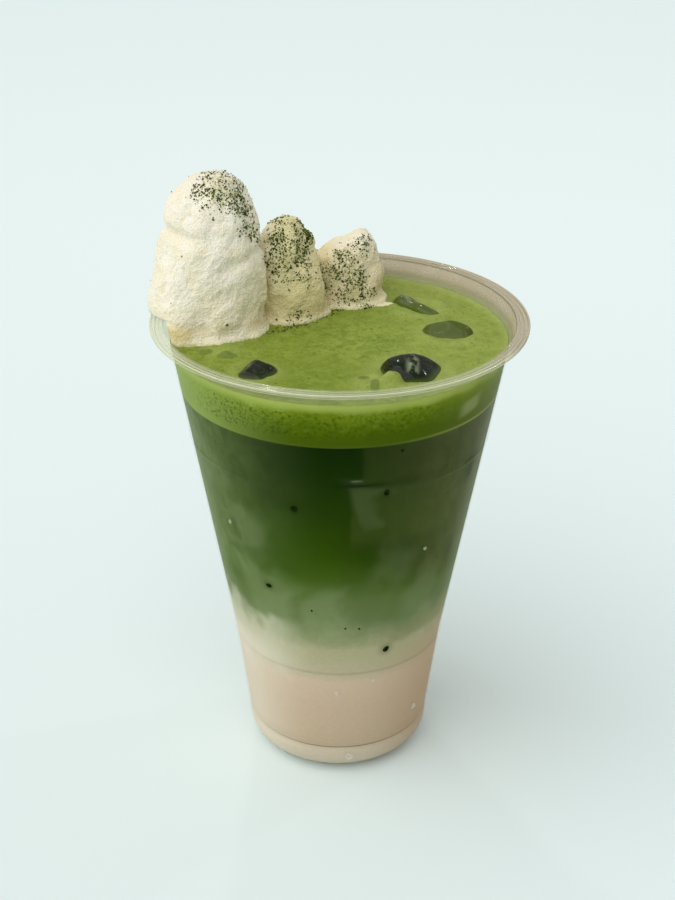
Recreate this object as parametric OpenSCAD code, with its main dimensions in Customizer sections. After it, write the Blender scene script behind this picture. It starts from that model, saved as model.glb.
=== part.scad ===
// Iced matcha latte with whipped cream, in a clear takeaway cup.
// Origin: centre of the cup's base, on the table. +Z is up, and -Y is the front.

/* [Cup] */
// Height of the cup, from the table to the top of its rim
cup_h = 127.5; // [106:0.5:153]
// Diameter over the rim
rim_d = 98; // [90:0.1:118]
// Width of the flat rim
rim_w = 3.3; // [2.5:0.1:4.2]
// Thickness of the flat rim
rim_t = 1; // [0.8:0.1:1.4]
// Number of fine grooves in the top of the rim
rim_grooves = 2; // [1:1:3]
// Height of the flared collar that carries the rim
collar_h = 5; // [4:0.5:6]
// How far the collar flares out, from the wall to the rim
collar_flare = 1.5; // [1:0.1:2]
// Thickness of the wall
wall_t = 0.5; // [0.4:0.05:0.7]
// Outside diameter of the wall at the stacking groove
base_d = 50.6; // [42:0.2:56]
// Height of the stacking groove above the table
groove_z = 9.6; // [9:0.2:12]
// Radius of the rounded heel below the groove
heel_r = 8.2; // [6:0.2:8.4]
// Outside diameter of the wall at the lower mould ring
knee_d = 57.6; // [56:0.2:66]
// Height of the lower mould ring above the table
knee_z = 36; // [30:0.5:39]
// Distance from the rim down to the upper mould ring
upper_ring_drop = 30.5; // [26:0.5:36]
// How far a mould ring stands out of the wall
ring_out = 0.35; // [0.2:0.05:0.5]
// Height of a mould ring
ring_h = 1.2; // [0.8:0.1:1.6]
// Rise of the recess under the base
recess_h = 1.6; // [1:0.1:2.4]

/* [Drink] */
// Level of the milk above the table
milk_z = 46; // [40:0.5:56]
// Distance from the rim down to the top of the foam
foam_drop = 5.5; // [4.6:0.1:6.6]
// Depth of the foam
foam_t = 11.8; // [10.5:0.1:14.2]
// Clearance between the drink and the cup
fill_gap = 0.1; // [0.05:0.01:0.2]

/* [Whipped cream] */
// Distance from the wall to the middle of the tall dollop
tall_inset = 8.6; // [7:0.1:12]
// Direction of the tall dollop from the cup's axis, in degrees
tall_turn = 165; // [155:1:175]
// Radius of the tall dollop at its foot
tall_r = 15.2; // [12.6:0.1:18.3]
// Height of the tall dollop above the foam
tall_h = 41.4; // [34.5:0.1:49.7]
// Radius of the middle dollop at its foot
middle_r = 10.8; // [10:0.1:13]
// Height of the middle dollop above the foam
middle_h = 26.4; // [22:0.1:31.7]
// Step from the tall dollop to the middle one, along X
middle_dx = 19; // [16:0.1:20]
// Step from the tall dollop to the middle one, along Y
middle_dy = 9; // [7:0.1:10]
// Radius of the low dollop at its foot
low_r = 11.4; // [10.4:0.1:13.6]
// Height of the low dollop above the foam
low_h = 17.8; // [14.8:0.1:21.4]
// Step from the middle dollop to the low one, along X
low_dx = 15; // [12.5:0.1:16]
// Step from the middle dollop to the low one, along Y
low_dy = 11.6; // [9.6:0.1:12]
// Clearance between the cream and the cup
cream_gap = 0.3; // [0.2:0.05:0.5]

/* [Ice] */
// Length of the large front piece of ice
ice_front_l = 17.6; // [14.6:0.1:21.2]
// Length of the small left piece of ice
ice_left_l = 10.4; // [8.6:0.1:12.5]
// Length of the right piece of ice
ice_right_l = 14.4; // [12:0.1:17.3]
// Length of the thin piece of ice at the back
ice_back_l = 18.4; // [15.3:0.1:22.1]

/* [Hidden] */
$fn = 96;

// Heights and radii of the cup
rim_r = rim_d / 2;
rim_inner_r = rim_r - rim_w;
rim_edge = 0.3;
rim_groove_w = 0.3;
rim_groove_depth = 0.2;
neck_r = rim_inner_r - collar_flare;
neck_z = cup_h - collar_h;
base_r = base_d / 2;
knee_r = knee_d / 2;
groove_in = 0.3;
groove_h = 0.9;
heel_steps = 12;
foot_r = base_r - heel_r;
foot_w = 3;
recess_slope = 2;
recess_r = foot_r - foot_w - recess_slope;
floor_z = recess_h + wall_t;
upper_ring_z = cup_h - upper_ring_drop;

// Levels of the drink
foam_z = cup_h - foam_drop;
drink_z = foam_z - foam_t;

// Outside radius of the plain wall at height z
function wall_r(z) =
    z < groove_z ? base_r :
    z < knee_z ? base_r + (knee_r - base_r) * (z - groove_z) / (knee_z - groove_z) :
    knee_r + (neck_r - knee_r) * (z - knee_z) / (neck_z - knee_z);

// The heel: a quarter circle from the foot up to the wall, drawn this far inside the outer face
function heel(inset) =
    [for (i = [0:heel_steps]) let (a = 90 * i / heel_steps)
        [foot_r + (heel_r - inset) * sin(a), heel_r - (heel_r - inset) * cos(a)]];

// A raised ring that runs round the wall at height z
function mould_ring(z) =
    [[wall_r(z - ring_h / 2), z - ring_h / 2],
     [wall_r(z) + ring_out, z],
     [wall_r(z + ring_h / 2), z + ring_h / 2]];

// One fine groove in the top of the rim
function rim_groove(r) =
    [[r + rim_groove_w / 2, cup_h], [r, cup_h - rim_groove_depth], [r - rim_groove_w / 2, cup_h]];

// The rim's top, from its outer edge inwards
rim_top = concat(
    [[rim_r, cup_h - rim_edge], [rim_r - rim_edge, cup_h]],
    [for (i = [rim_grooves:-1:1], p = rim_groove(rim_inner_r + rim_w * i / (rim_grooves + 1))) p]);

// The cup's outside, from the middle of the recess under the base up to the rim
outside = concat(
    [[0, recess_h], [recess_r, recess_h], [foot_r - foot_w, 0]],
    heel(0),
    [[base_r, groove_z - groove_h / 2],
     [wall_r(groove_z) - groove_in, groove_z],
     [wall_r(groove_z + groove_h / 2), groove_z + groove_h / 2]],
    mould_ring(knee_z),
    mould_ring(upper_ring_z),
    [[neck_r, neck_z],
     [rim_inner_r, cup_h - rim_t],
     [rim_r - rim_edge, cup_h - rim_t],
     [rim_r, cup_h - rim_t + rim_edge]],
    rim_top,
    [[0, cup_h]]);

// The cup's inside, from the middle of its floor up past the rim
cavity = concat(
    [[0, floor_z], [recess_r, floor_z], [foot_r - foot_w, wall_t]],
    heel(wall_t),
    [[wall_r(groove_z) - groove_in - wall_t, groove_z],
     [knee_r - wall_t, knee_z],
     [neck_r - wall_t, neck_z],
     [rim_inner_r - wall_t, cup_h - rim_t],
     [rim_inner_r - wall_t, cup_h + 1],
     [0, cup_h + 1]]);

module cup() {
    color([0.86, 0.87, 0.84, 0.35])
    rotate_extrude()
    difference() {
        polygon(outside);
        polygon(cavity);
    }
}

// The room inside the cup between two levels, a hair clear of the cup
module fill(low, high) {
    rotate_extrude()
    intersection() {
        translate([-fill_gap, low == 0 ? fill_gap : 0])
        polygon(cavity);
        translate([0, low])
        square([rim_r, high - low]);
    }
}

module milk() {
    color([0.80, 0.72, 0.60])
    fill(0, milk_z);
}

module matcha() {
    color([0.18, 0.32, 0.12])
    fill(milk_z, drink_z);
}

// The foam closes round the pieces of ice that float in it
module foam() {
    color([0.48, 0.58, 0.20])
    difference() {
        fill(drink_z, foam_z);
        ice_front_shape();
        ice_left_shape();
        ice_right_shape();
        ice_back_shape();
    }
}

// Side of a square bar that, turned by 45 degrees, melts the edges of a block this wide and this deep
function melted(width, depth) = ((width + depth) / 2 - ice_melt) * sqrt(2);

// A block of ice with its edges melted off. Its middle stands this far out of the foam
module ice(size, place, turn, out) {
    translate([place[0], place[1], foam_z + out - size[2] / 2])
    rotate(turn)
    intersection() {
        cube(size, center = true);
        rotate([45, 0, 0])
        cube([size[0], melted(size[1], size[2]), melted(size[1], size[2])], center = true);
        rotate([0, 45, 0])
        cube([melted(size[0], size[2]), size[1], melted(size[0], size[2])], center = true);
        rotate([0, 0, 45])
        cube([melted(size[0], size[1]), melted(size[0], size[1]), size[2]], center = true);
    }
}

ice_melt = 2.2;
ice_front_w = 12.5;
ice_front_t = 12;
ice_left_w = 8.4;
ice_left_t = 9;
ice_right_w = 9.6;
ice_right_t = 8;
ice_back_w = 6.4;
ice_back_t = 7;

module ice_front_shape() {
    ice([ice_front_l, ice_front_w, ice_front_t], [18, -23], [16, 5, 6], 3.6);
}

module ice_left_shape() {
    ice([ice_left_l, ice_left_w, ice_left_t], [-20.6, -23.6], [14, -10, 62], 2);
}

module ice_right_shape() {
    ice([ice_right_l, ice_right_w, ice_right_t], [28, 1.6], [38, 4, -6], 0.6);
}

module ice_back_shape() {
    ice([ice_back_l, ice_back_w, ice_back_t], [21.6, 19.4], [20, 4, -46], 1.2);
}

module ice_front() {
    color([0.10, 0.16, 0.10, 0.7])
    ice_front_shape();
}

module ice_left() {
    color([0.10, 0.18, 0.08, 0.7])
    ice_left_shape();
}

module ice_right() {
    color([0.28, 0.38, 0.14, 0.7])
    ice_right_shape();
}

module ice_back() {
    color([0.25, 0.32, 0.18, 0.7])
    ice_back_shape();
}

// Whipped cream. Each dollop is a stack of uneven rings round a leaning spine.
// A ring stops at the flat faces where two dollops press together, and at the cup.
ring_points = 48;
cream_fold = 0.045;
cream_seam = 0.05;
cream_overhang = 0.2;
shelf_rise = 0.5;
shelf_z = cup_h + cream_gap;
below_rim = 3;
above_rim = 15;
cream_in_r = wall_r(foam_z) - wall_t - cream_gap;
cream_out_r = rim_r - cream_overhang;
dome_start = 0.6;
dome_power = 2.5;

tall_reach = wall_r(foam_z) - wall_t - tall_inset;
tall_at = [tall_reach * cos(tall_turn), tall_reach * sin(tall_turn)];
middle_at = tall_at + [middle_dx, middle_dy];
low_at = middle_at + [low_dx, low_dy];

// Largest radius along direction u from point c that stays inside a circle of radius limit
function to_circle(c, u, limit) = -c * u + sqrt(pow(c * u, 2) - c * c + limit * limit);

// Largest radius along direction u from point c that stays on this side of a face [normal, distance]
function to_face(c, u, face) = u * face[0] <= 0.001 ? 1000 : (face[1] - c * face[0]) / (u * face[0]);

// The face where the dollop at a, of radius r, meets its neighbour at b
function meet(a, b, r, other) =
    let (n = (b - a) / norm(b - a))
    [n, a * n + norm(b - a) * r / (r + other) - cream_seam / 2];

// Height of ring i of a dollop this tall, with one step at the rim
function ring_z(i, h) =
    i <= below_rim ? foam_z + (shelf_z - foam_z) * i / below_rim :
    let (k = i - below_rim - 1)
    shelf_z + shelf_rise + (foam_z + h - shelf_z - shelf_rise) * sin(90 * k / above_rim);

// Radius of a dollop at direction a and share u of its height
function dollop_r(foot, head, stretch, phase, u, a) =
    let (x = max(0, (u - dome_start) / (1 - dome_start)))
    (foot * (1 - u) + head * u)
    * pow(max(0, 1 - pow(x, dome_power)), 1 / dome_power)
    * (1 + stretch * cos(2 * a)
        + cream_fold * sin(3 * a + phase + 300 * u)
        + cream_fold * sin(5 * a - 2 * phase + 520 * u) * 0.7
        + cream_fold * sin(8 * a + phase - 700 * u) * 0.4);

module dollop(at, foot, head, h, lean, stretch, phase, faces) {
    last = below_rim + above_rim;
    points = [for (i = [0:last], j = [0:ring_points - 1])
        let (
            a = 360 * j / ring_points,
            u = [cos(a), sin(a)],
            z = ring_z(i, h),
            share = (z - foam_z) / h,
            c = at + lean * share,
            r = min(concat(
                [dollop_r(foot, head, stretch, phase, share, a),
                 to_circle(c, u, i <= below_rim ? cream_in_r : cream_out_r)],
                [for (f = faces) to_face(c, u, f)])))
        [c[0] + r * u[0], c[1] + r * u[1], z]];
    middle_low = len(points);
    middle_top = middle_low + 1;
    sides = [for (i = [0:last - 1], j = [0:ring_points - 1])
        let (
            k = (j + 1) % ring_points,
            p = i * ring_points,
            q = p + ring_points)
        each [[p + j, q + j, q + k], [p + j, q + k, p + k]]];
    base = [for (j = [0:ring_points - 1]) [middle_low, j, (j + 1) % ring_points]];
    top = [for (j = [0:ring_points - 1])
        [last * ring_points + j, middle_top, last * ring_points + (j + 1) % ring_points]];
    ends = [[at[0], at[1], foam_z], [at[0] + lean[0], at[1] + lean[1], foam_z + h]];
    polyhedron(concat(points, ends), concat(sides, base, top));
}

module cream_tall() {
    color([0.93, 0.90, 0.80])
    dollop(tall_at, tall_r, tall_r * 0.66, tall_h, [1.8, -2.4], 0.07, 20,
        [meet(tall_at, middle_at, tall_r, middle_r)]);
}

module cream_middle() {
    color([0.82, 0.80, 0.60])
    dollop(middle_at, middle_r, middle_r * 0.74, middle_h, [1, -1], 0.03, 150,
        [meet(middle_at, tall_at, middle_r, tall_r), meet(middle_at, low_at, middle_r, low_r)]);
}

module cream_low() {
    color([0.88, 0.85, 0.68])
    dollop(low_at, low_r, low_r * 0.62, low_h, [3, -0.5], 0.05, 250,
        [meet(low_at, middle_at, low_r, middle_r)]);
}

cup();
milk();
matcha();
foam();
cream_tall();
cream_middle();
cream_low();
ice_front();
ice_left();
ice_right();
ice_back();
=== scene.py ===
"""Looks of an iced matcha latte with whipped cream, in a clear takeaway cup.

Sizes of the drink and its cup are in millimetres until a mesh is made. Angles round the cup are
in degrees from the front (-Y) towards the right (+X). The floor, lights and camera are in metres.
"""
import itertools
import math

import bpy
import numpy as np
from mathutils import Euler, Matrix, Vector


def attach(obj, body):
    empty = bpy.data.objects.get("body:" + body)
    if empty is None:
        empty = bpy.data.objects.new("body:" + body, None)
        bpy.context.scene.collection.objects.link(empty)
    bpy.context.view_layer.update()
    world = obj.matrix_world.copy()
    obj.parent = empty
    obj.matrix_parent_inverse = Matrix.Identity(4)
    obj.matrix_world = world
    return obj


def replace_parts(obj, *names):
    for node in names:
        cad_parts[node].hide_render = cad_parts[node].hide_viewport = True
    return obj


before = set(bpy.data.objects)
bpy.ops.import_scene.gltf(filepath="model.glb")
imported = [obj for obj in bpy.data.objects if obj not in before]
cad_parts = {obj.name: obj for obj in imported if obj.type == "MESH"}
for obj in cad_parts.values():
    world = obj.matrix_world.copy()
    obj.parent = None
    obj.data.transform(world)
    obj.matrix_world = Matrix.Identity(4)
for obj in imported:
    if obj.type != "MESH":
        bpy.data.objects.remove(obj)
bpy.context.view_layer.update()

MM = 0.001

# ---------------- sizes of the cup and the drink

CUP_TOP = 127.5
RIM_OUT, RIM_IN = 49.0, 45.7
RIM_THICK = 1.0
NECK_Z, NECK_R = 122.5, 44.2
GROOVE_Z, GROOVE_R = 9.6, 25.3
KNEE_Z, KNEE_R = 36.0, 28.8
UPPER_RING_Z = 97.0
HEEL_R, FOOT_R, FOOT_W = 8.2, 17.1, 3.0
RECESS_R, RECESS_H = 12.1, 1.6
RECESS_EDGE_R, RECESS_EDGE_H = 13.1, 0.88
RIM_LINE = 1.1
WALL = 0.5
INTO_WALL = 0.15
FILL_GAP = WALL - INTO_WALL

MILK_Z = 46.0
DRINK_Z = 110.2
FOAM_Z = 122.0

# Points round each lathed piece, and the size of the faces of the remeshed ones
CUP_COUNT, DRINK_COUNT, FOAM_COUNT = 288, 256, 400
FOAM_RINGS = 104
ICE_VOXEL, CREAM_VOXEL = 0.35, 0.42


def wall_radius(z):
    """Outside radius of the plain wall at height z."""
    if z < GROOVE_Z:
        return GROOVE_R
    if z < KNEE_Z:
        return GROOVE_R + (KNEE_R - GROOVE_R) * (z - GROOVE_Z) / (KNEE_Z - GROOVE_Z)
    return KNEE_R + (NECK_R - KNEE_R) * (z - KNEE_Z) / (NECK_Z - KNEE_Z)


def on_wall(angle, z, out=0.0):
    """A point of the wall's outer face, moved out by some millimetres."""
    a = math.radians(angle)
    r = wall_radius(z) + out
    return Vector((r * math.sin(a), -r * math.cos(a), z))


# ---------------- smooth noise and mesh helpers


def value_noise(points, size, seed):
    """Smooth noise from -1 to 1, with bumps about this size."""
    table = np.random.default_rng(seed).uniform(-1, 1, 4096)
    place = np.asarray(points, float) / size
    cell = np.floor(place).astype(np.int64)
    part = place - cell
    part = part * part * (3 - 2 * part)
    total = np.zeros(len(place))
    for corner in itertools.product((0, 1), repeat=3):
        key = (cell + corner) @ np.array([73856093, 19349663, 83492791])
        weight = np.prod(np.where(np.array(corner, bool), part, 1 - part), axis=1)
        total += weight * table[key % 4096]
    return total


def rough_noise(points, size, seed, octaves=3, fade=0.5):
    """Several layers of smooth noise, each turned, finer and weaker than the last."""
    turn = np.array(Euler((0.6, 0.4, 0.9)).to_matrix())
    place = np.asarray(points, float)
    total = np.zeros(len(place))
    for k in range(octaves):
        place = place @ turn
        total += fade**k * value_noise(place, size / 2**k, seed + k)
    return total


def smooth_step(value, low, high):
    """0 below low, 1 above high, and smooth between them. low may be above high."""
    t = np.clip((np.asarray(value, float) - low) / (high - low), 0, 1)
    return t * t * (3 - 2 * t)


def new_piece(name, points, faces, materials, slot, smooth=True, face_material=None):
    """A mesh piece from points in millimetres. It rides on the object's only body."""
    mesh = bpy.data.meshes.new(name)
    mesh.from_pydata((np.asarray(points, float) * MM).tolist(), [], [list(map(int, f)) for f in faces])
    for material in materials:
        mesh.materials.append(material)
    if face_material is not None:
        mesh.polygons.foreach_set("material_index", np.asarray(face_material, np.int32))
    mesh.polygons.foreach_set("use_smooth", [smooth] * len(mesh.polygons))
    mesh.update()
    piece = in_scene(name, mesh)
    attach(piece, "root")
    return piece


def ring_faces(low, high, count):
    """Faces between two rings, from the indices of their first points."""
    near = np.arange(count)
    far = (near + 1) % count
    return np.column_stack([low + near, low + far, high + far, high + near]).tolist()


def grid_faces(rows, columns):
    """Faces of a grid of points that is listed row by row."""
    grid = np.arange(rows * columns).reshape(rows, columns)
    return np.stack([grid[:-1, :-1], grid[:-1, 1:], grid[1:, 1:], grid[1:, :-1]], axis=-1).reshape(-1, 4)


def in_scene(name, data):
    """A new object of the scene."""
    item = bpy.data.objects.new(name, data)
    bpy.context.scene.collection.objects.link(item)
    return item


def lathe(profile, count):
    """Points and faces of a profile [(radius, z)] turned round Z. Ends on the axis are closed."""
    rings = [(r, z) for r, z in profile if r > 1e-6]
    angle = np.linspace(0, 2 * math.pi, count, endpoint=False)
    circle = np.stack([np.sin(angle), -np.cos(angle)], axis=1)
    points = [np.column_stack([circle * r, np.full(count, z)]) for r, z in rings]
    points = np.concatenate(points)
    near = np.arange(count)
    far = (near + 1) % count
    faces = []
    for k in range(len(rings) - 1):
        faces += ring_faces(k * count, (k + 1) * count, count)
    if profile[0][0] <= 1e-6:
        points = np.vstack([points, [0, 0, profile[0][1]]])
        middle = len(points) - 1
        faces += np.column_stack([np.full(count, middle), far, near]).tolist()
    if profile[-1][0] <= 1e-6:
        points = np.vstack([points, [0, 0, profile[-1][1]]])
        middle = len(points) - 1
        last = (len(rings) - 1) * count
        faces += np.column_stack([last + near, last + far, np.full(count, middle)]).tolist()
    return points, faces


# ---------------- node materials


def shade(red, green, blue):
    """A linear colour from the usual 0 to 255 values."""
    def linear(value):
        v = value / 255
        return v / 12.92 if v <= 0.04045 else ((v + 0.055) / 1.055) ** 2.4
    return (linear(red), linear(green), linear(blue), 1.0)


# The colour sockets of Blender's mix node
MIX_FIRST, MIX_SECOND, MIX_RESULT = 6, 7, 2

# Degrees from the front between which a tint of one side fades out towards the back
BACK_FADE = (168, 98)


class Look:
    """A node material, built up one call at a time. Lengths are in millimetres."""

    def __init__(self, name):
        self.material = bpy.data.materials.new(name)
        self.material.use_nodes = True
        self.tree = self.material.node_tree
        self.tree.nodes.clear()
        self.end = self.add("ShaderNodeOutputMaterial")
        where = self.add("ShaderNodeTexCoord").outputs["Object"]
        scale = self.add("ShaderNodeVectorMath", operation="SCALE")
        self.tree.links.new(where, scale.inputs[0])
        scale.inputs["Scale"].default_value = 1 / MM
        self.place = scale.outputs["Vector"]
        split = self.add("ShaderNodeSeparateXYZ")
        self.tree.links.new(self.place, split.inputs[0])
        self.x, self.y, self.z = split.outputs
        turn = self.math("ARCTAN2", self.x, self.math("MULTIPLY", self.y, -1))
        self.angle = self.math("MULTIPLY", turn, 180 / math.pi)

    def add(self, kind, **settings):
        """A new node with these properties."""
        node = self.tree.nodes.new(kind)
        for key, value in settings.items():
            setattr(node, key, value)
        return node

    def put(self, value, socket):
        """Links another node's output to a socket, or sets a constant on it."""
        if isinstance(value, bpy.types.NodeSocket):
            self.tree.links.new(value, socket)
        else:
            socket.default_value = value

    def fill(self, node, **values):
        """Puts values into a node's inputs. An underscore stands for a space in an input's name."""
        for key, value in values.items():
            self.put(value, node.inputs[key.replace("_", " ")])

    def math(self, operation, *values):
        node = self.add("ShaderNodeMath", operation=operation)
        for value, socket in zip(values, node.inputs):
            self.put(value, socket)
        return node.outputs[0]

    def times(self, *values):
        total = values[0]
        for value in values[1:]:
            total = self.math("MULTIPLY", total, value)
        return total

    def plus(self, *values):
        total = values[0]
        for value in values[1:]:
            total = self.math("ADD", total, value)
        return total

    def rise(self, value, low, high, start=0.0, stop=1.0):
        """start below low, stop above high, and smooth between them."""
        node = self.add("ShaderNodeMapRange", interpolation_type="SMOOTHSTEP")
        if low > high:
            low, high, start, stop = high, low, stop, start
        self.fill(node, Value=value, From_Min=low, From_Max=high, To_Min=start, To_Max=stop)
        return node.outputs[0]

    def side(self, low, high, start=0.0, stop=1.0):
        """As rise, for the angle round the cup, and faded out again towards the back."""
        turned = self.math("ABSOLUTE", self.angle)
        return self.times(self.rise(self.angle, low, high, start, stop), self.rise(turned, *BACK_FADE))

    def band(self, value, low, high, soft):
        """1 between low and high, with soft edges."""
        enters = self.rise(value, low - soft, low + soft)
        return self.times(enters, self.rise(value, high + soft, high - soft))

    def patch(self, angles, soft, heights, soft_z):
        """1 between two angles and two heights of the wall, with soft edges."""
        return self.times(self.band(self.angle, *angles, soft), self.band(self.z, *heights, soft_z))

    def edge(self, power):
        """0 face on and 1 where the surface turns away, the later the higher the power."""
        node = self.add("ShaderNodeLayerWeight")
        node.inputs["Blend"].default_value = 0.5
        return self.math("POWER", node.outputs["Facing"], power)

    def noise(self, size, detail=3.0, rough=0.5, twist=0.0, stretch=(1, 1, 1)):
        """Cloudy noise about 0.5, with features about this size."""
        place = self.add("ShaderNodeVectorMath", operation="MULTIPLY")
        self.put(self.place, place.inputs[0])
        place.inputs[1].default_value = stretch
        node = self.add("ShaderNodeTexNoise")
        self.put(place.outputs["Vector"], node.inputs["Vector"])
        self.fill(node, Scale=1 / size, Detail=detail, Roughness=rough, Distortion=twist)
        return node.outputs["Fac"]

    def cells(self, size):
        """Distance from the nearest of many scattered points about this far apart."""
        node = self.add("ShaderNodeTexVoronoi", feature="F1")
        self.fill(node, Vector=self.place, Scale=1 / size)
        return node.outputs["Distance"]

    def away(self, at, spread=(1, 1, 1)):
        """Distance from a place (x, y) or (x, y, z), counted in these units along each axis."""
        squares = []
        for axis, middle, unit in zip((self.x, self.y, self.z), at, spread):
            gap = self.times(self.plus(axis, -middle), 1 / unit)
            squares.append(self.times(gap, gap))
        return self.math("SQRT", self.plus(*squares))

    def swing(self, value, size):
        """A value from 0 to 1 as one that swings this much about 0."""
        return self.times(self.plus(value, -0.5), size)

    def mix(self, amount, first, second, kind="MIX"):
        node = self.add("ShaderNodeMix", data_type="RGBA", blend_type=kind, clamp_factor=True)
        self.put(amount, node.inputs["Factor"])
        self.put(first, node.inputs[MIX_FIRST])
        self.put(second, node.inputs[MIX_SECOND])
        return node.outputs[MIX_RESULT]

    def tint(self, towards, *amounts):
        """Moves the look's colour towards a (red, green, blue) by the product of these amounts."""
        self.colour = self.mix(self.times(*amounts), self.colour, shade(*towards))

    def ramp(self, value, table, span):
        """A colour for each value. table lists (value, red, green, blue), with values up to span."""
        stops = sorted((place / span, shade(*colour)) for place, *colour in table)
        node = self.add("ShaderNodeValToRGB")
        node.color_ramp.interpolation = "LINEAR"
        points = node.color_ramp.elements
        while len(points) < len(stops):
            points.new(0.5)
        for point, (place, colour) in zip(points, stops):
            point.position = place
            point.color = colour
        self.put(self.times(value, 1 / span), node.inputs["Fac"])
        return node.outputs["Color"]

    def bump(self, height, depth, strength=1.0):
        """A normal for fine relief this deep."""
        node = self.add("ShaderNodeBump")
        self.fill(node, Strength=strength, Distance=depth * MM, Height=height)
        return node.outputs["Normal"]

    def surface(self, colour, roughness, normal=None, **sockets):
        """The Principled shader, with constants set on its own sockets."""
        node = self.add("ShaderNodeBsdfPrincipled")
        if normal is not None:
            sockets["Normal"] = normal
        self.fill(node, Base_Color=colour, Roughness=roughness, **sockets)
        return node.outputs["BSDF"]

    def blend(self, amount, first, second):
        node = self.add("ShaderNodeMixShader")
        self.put(amount, node.inputs[0])
        self.put(first, node.inputs[1])
        self.put(second, node.inputs[2])
        return node.outputs[0]

    def painted(self, roughness, normal=None, **sockets):
        """The finished material in the look's colour."""
        return self.done(self.surface(self.colour, roughness, normal, **sockets))

    def done(self, shader):
        self.put(shader, self.end.inputs["Surface"])
        return self.material


# ---------------- the cup


# How far a mould ring and the groove stand out from the wall, as (height from the middle, amount)
RING_STEPS = (
    (-1.6, 0), (-0.9, 0), (-0.6, 0.03), (-0.3, 0.14), (0, 0.2), (0.3, 0.14), (0.6, 0.03), (0.9, 0), (1.6, 0))
GROOVE_STEPS = (
    (-0.9, 0), (-0.5, -0.02), (-0.2, -0.2), (0, -0.3), (0.2, -0.2), (0.5, -0.02), (0.9, 0), (1.8, 0))


def heel_arc(inset):
    """The heel's quarter circle from the foot up to the wall, this far inside its outer face."""
    arc = HEEL_R - inset
    angles = np.radians(np.arange(0, 91, 6))
    return [(FOOT_R + arc * math.sin(a), HEEL_R - arc * math.cos(a)) for a in angles]


def plain_wall(heights, inset=0):
    """Points up the wall at these heights, this far inside its outer face."""
    return [(wall_radius(z) - inset, z) for z in heights]


def moulded(middle, steps):
    """Points up the wall's outer face about a height, each with its own distance out."""
    return [(wall_radius(middle + dz) + out, middle + dz) for dz, out in steps]


def flange_top():
    """The rim's top from its outer edge inwards, with two fine grooves and rounded lines between them."""
    edge = ((0.02, 0.55), (0, 0.4), (0.12, 0.12), (0.4, 0))
    points = [(RIM_OUT - inward, CUP_TOP - down) for inward, down in edge]
    wide = (RIM_OUT - RIM_IN) / 3
    for k in range(3):
        start = RIM_OUT - 0.5 - k * wide * 0.94
        stop = start - wide * 0.8
        for step in range(6):
            u = step / 5
            dip = 0.26 * (2 * u - 1) ** 4
            points.append((start + (stop - start) * u, CUP_TOP - dip))
    return points


def cup_profile():
    """The whole outline of the cup: up its outside, over the rim, and down its inside."""
    foot_in = FOOT_R - FOOT_W
    under_rim = CUP_TOP - RIM_THICK
    outside = [(0, RECESS_H), (RECESS_R, RECESS_H), (RECESS_EDGE_R, RECESS_EDGE_H)]
    outside += [(foot_in - 0.4, 0.12), (foot_in, 0)] + heel_arc(0) + moulded(GROOVE_Z, GROOVE_STEPS)
    outside += plain_wall((18, 27)) + moulded(KNEE_Z, RING_STEPS)
    outside += plain_wall((50, 65, 80)) + moulded(UPPER_RING_Z, RING_STEPS)
    outside += plain_wall((108, 116, 120, NECK_Z))
    outside += [(NECK_R + 0.35, NECK_Z + 1.2), (NECK_R + 0.8, NECK_Z + 2.8)]
    outside += [(RIM_IN - 0.2, under_rim - 0.2), (RIM_IN + 0.3, under_rim), (RIM_OUT - 0.3, under_rim)]
    outside += [(RIM_OUT - 0.05, under_rim + 0.15)]
    inside = [(RIM_IN - 0.1, CUP_TOP - 0.2), (RIM_IN - 0.45, CUP_TOP - 0.7)]
    inside += [(NECK_R + 0.35, NECK_Z + 2.9), (NECK_R - 0.15, NECK_Z + 1.2)]
    inside += plain_wall((NECK_Z, 110, 97, 80, 65, 50, 36, 27, 18, 10.2), WALL)
    inside += [(GROOVE_R - 0.8, GROOVE_Z), (GROOVE_R - WALL, 9.0)] + heel_arc(WALL)[::-1]
    inside += [(foot_in, WALL), (RECESS_EDGE_R, RECESS_EDGE_H + WALL)]
    inside += [(RECESS_R, RECESS_H + WALL), (0, RECESS_H + WALL)]
    return outside + flange_top() + inside


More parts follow.
